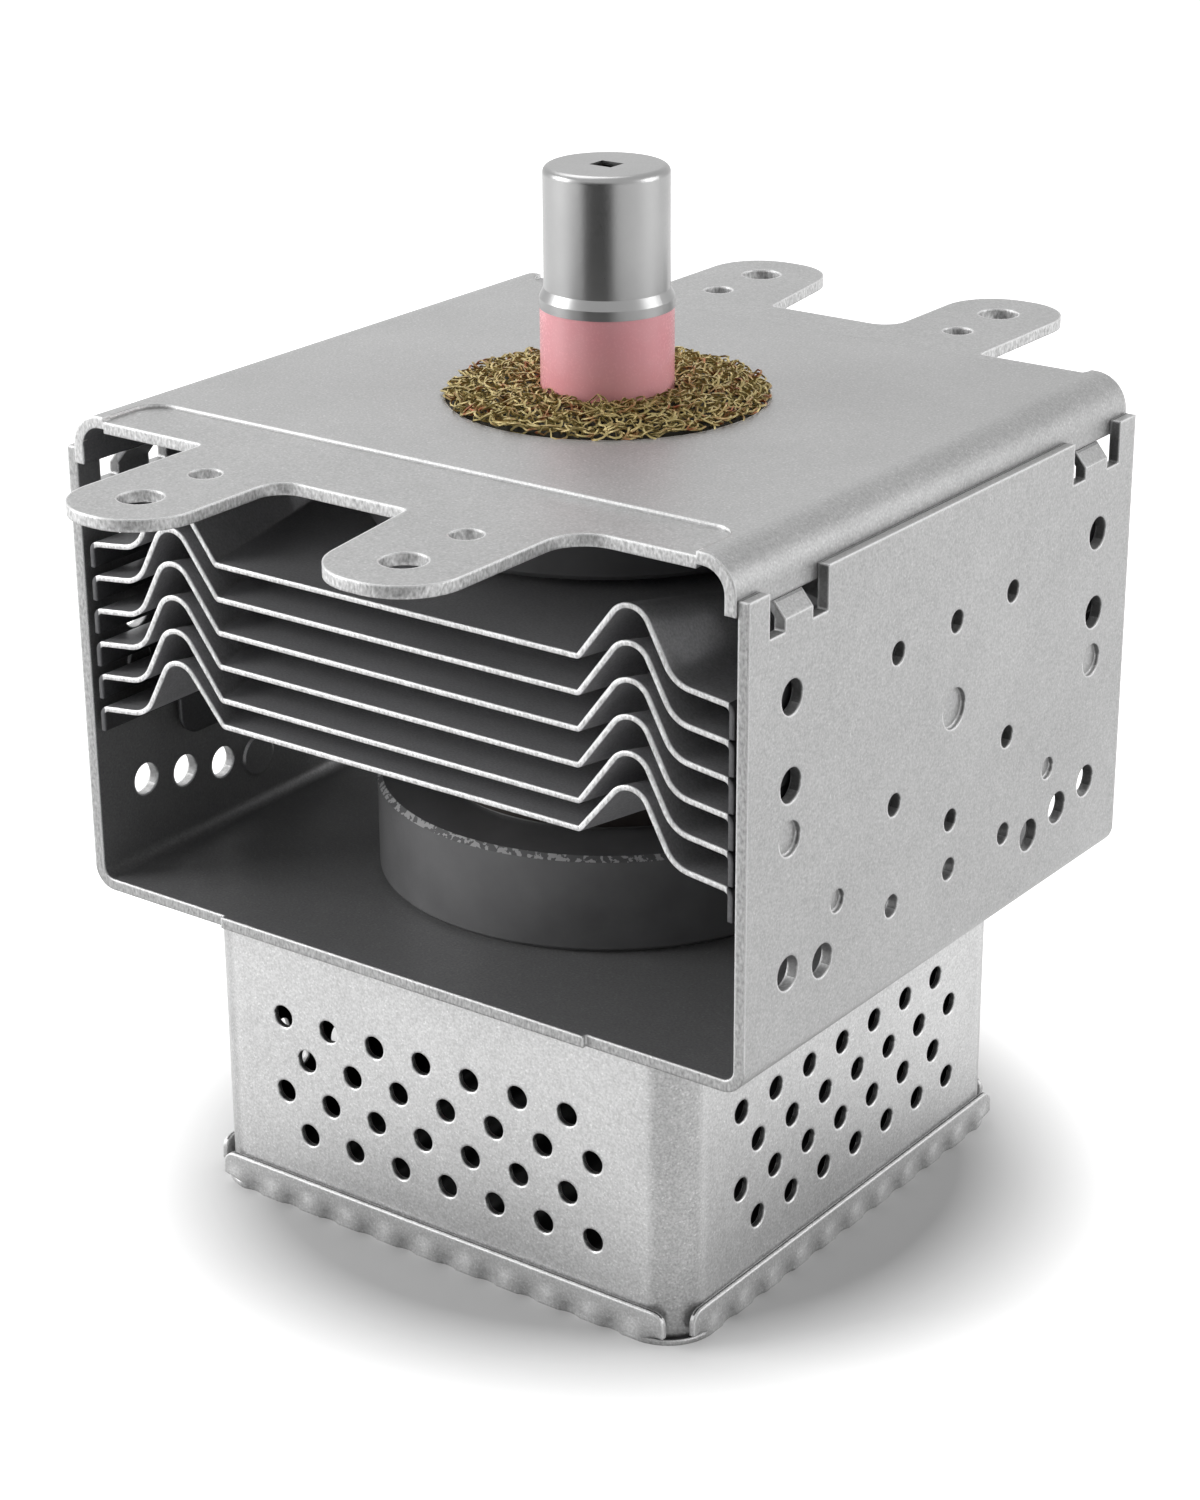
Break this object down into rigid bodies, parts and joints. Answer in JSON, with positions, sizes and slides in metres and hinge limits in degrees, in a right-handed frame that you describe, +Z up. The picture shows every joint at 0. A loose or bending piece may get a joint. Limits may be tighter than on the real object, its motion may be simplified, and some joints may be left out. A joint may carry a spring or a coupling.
{
  "type": "magnetron",
  "caption": "Microwave oven tube: wavy cooling fins between ring magnets in a folded steel yoke, eared mounting plate, antenna cap on a pink ceramic collar, perforated filter box below.",
  "frame": {"origin": "on the antenna's axis, in the mounting plate's top face", "axes": "+Z up along the antenna, away from the filter box; -Y and +Y out of the yoke's two open faces, which show the fins and carry the plate's ears; -X and +X out of the yoke's side walls"},
  "size_m": [0.097, 0.137, 0.1286],
  "materials": {
    "zinc_coated_steel": "satin, fine zinc grain, bright cut edges",
    "ferrite_magnet": "matte, fired and ground",
    "aluminium_fin": "rolled sheet",
    "copper": "bare copper",
    "bare_steel": "plain drawn sheet",
    "dark_refractory_metal": "dull grey",
    "pink_ceramic": "fired alumina",
    "drawn_steel_cap": "satin",
    "wire_mesh": "knitted wire",
    "enamelled_copper": "enamel on copper wire",
    "ferrite_core": "matte",
    "dark_moulding": "moulded",
    "tinned_metal": "tinned"
  },
  "bodies": {
    "root": {"mounting_plate": "zinc_coated_steel", "yoke_frame": "zinc_coated_steel", "upper_magnet": "ferrite_magnet", "lower_magnet": "ferrite_magnet", "fin_1": "aluminium_fin", "fin_2": "aluminium_fin", "fin_3": "aluminium_fin", "fin_4": "aluminium_fin", "fin_5": "aluminium_fin", "fin_6": "aluminium_fin", "anode_cylinder": "copper", "vane_01": "copper", "vane_02": "copper", "vane_03": "copper", "vane_04": "copper", "vane_05": "copper", "vane_06": "copper", "vane_07": "copper", "vane_08": "copper", "vane_09": "copper", "vane_10": "copper", "upper_strap_inner": "copper", "upper_strap_outer": "copper", "lower_strap_inner": "copper", "lower_strap_outer": "copper", "upper_pole_piece": "bare_steel", "lower_pole_piece": "bare_steel", "upper_seal_cup": "bare_steel", "lower_seal_cup": "bare_steel", "cathode_filament": "dark_refractory_metal", "upper_end_hat": "dark_refractory_metal", "lower_end_hat": "dark_refractory_metal", "centre_lead": "dark_refractory_metal", "side_lead": "dark_refractory_metal", "stem_ceramic": "pink_ceramic", "centre_terminal": "tinned_metal", "side_terminal": "tinned_metal", "antenna_lead": "copper", "antenna_ceramic": "pink_ceramic", "antenna_seal": "bare_steel", "exhaust_tube": "copper", "antenna_cap": "drawn_steel_cap", "rf_gasket": "wire_mesh", "filter_box": "zinc_coated_steel", "filter_lid": "zinc_coated_steel", "choke_coil_1": "enamelled_copper", "choke_coil_2": "enamelled_copper", "choke_core_1": "ferrite_core", "choke_core_2": "ferrite_core", "capacitor_body": "dark_moulding", "capacitor_plate": "tinned_metal", "capacitor_terminal_1": "tinned_metal", "capacitor_terminal_2": "tinned_metal", "capacitor_rivets": "tinned_metal"}
  },
  "joints": []
}
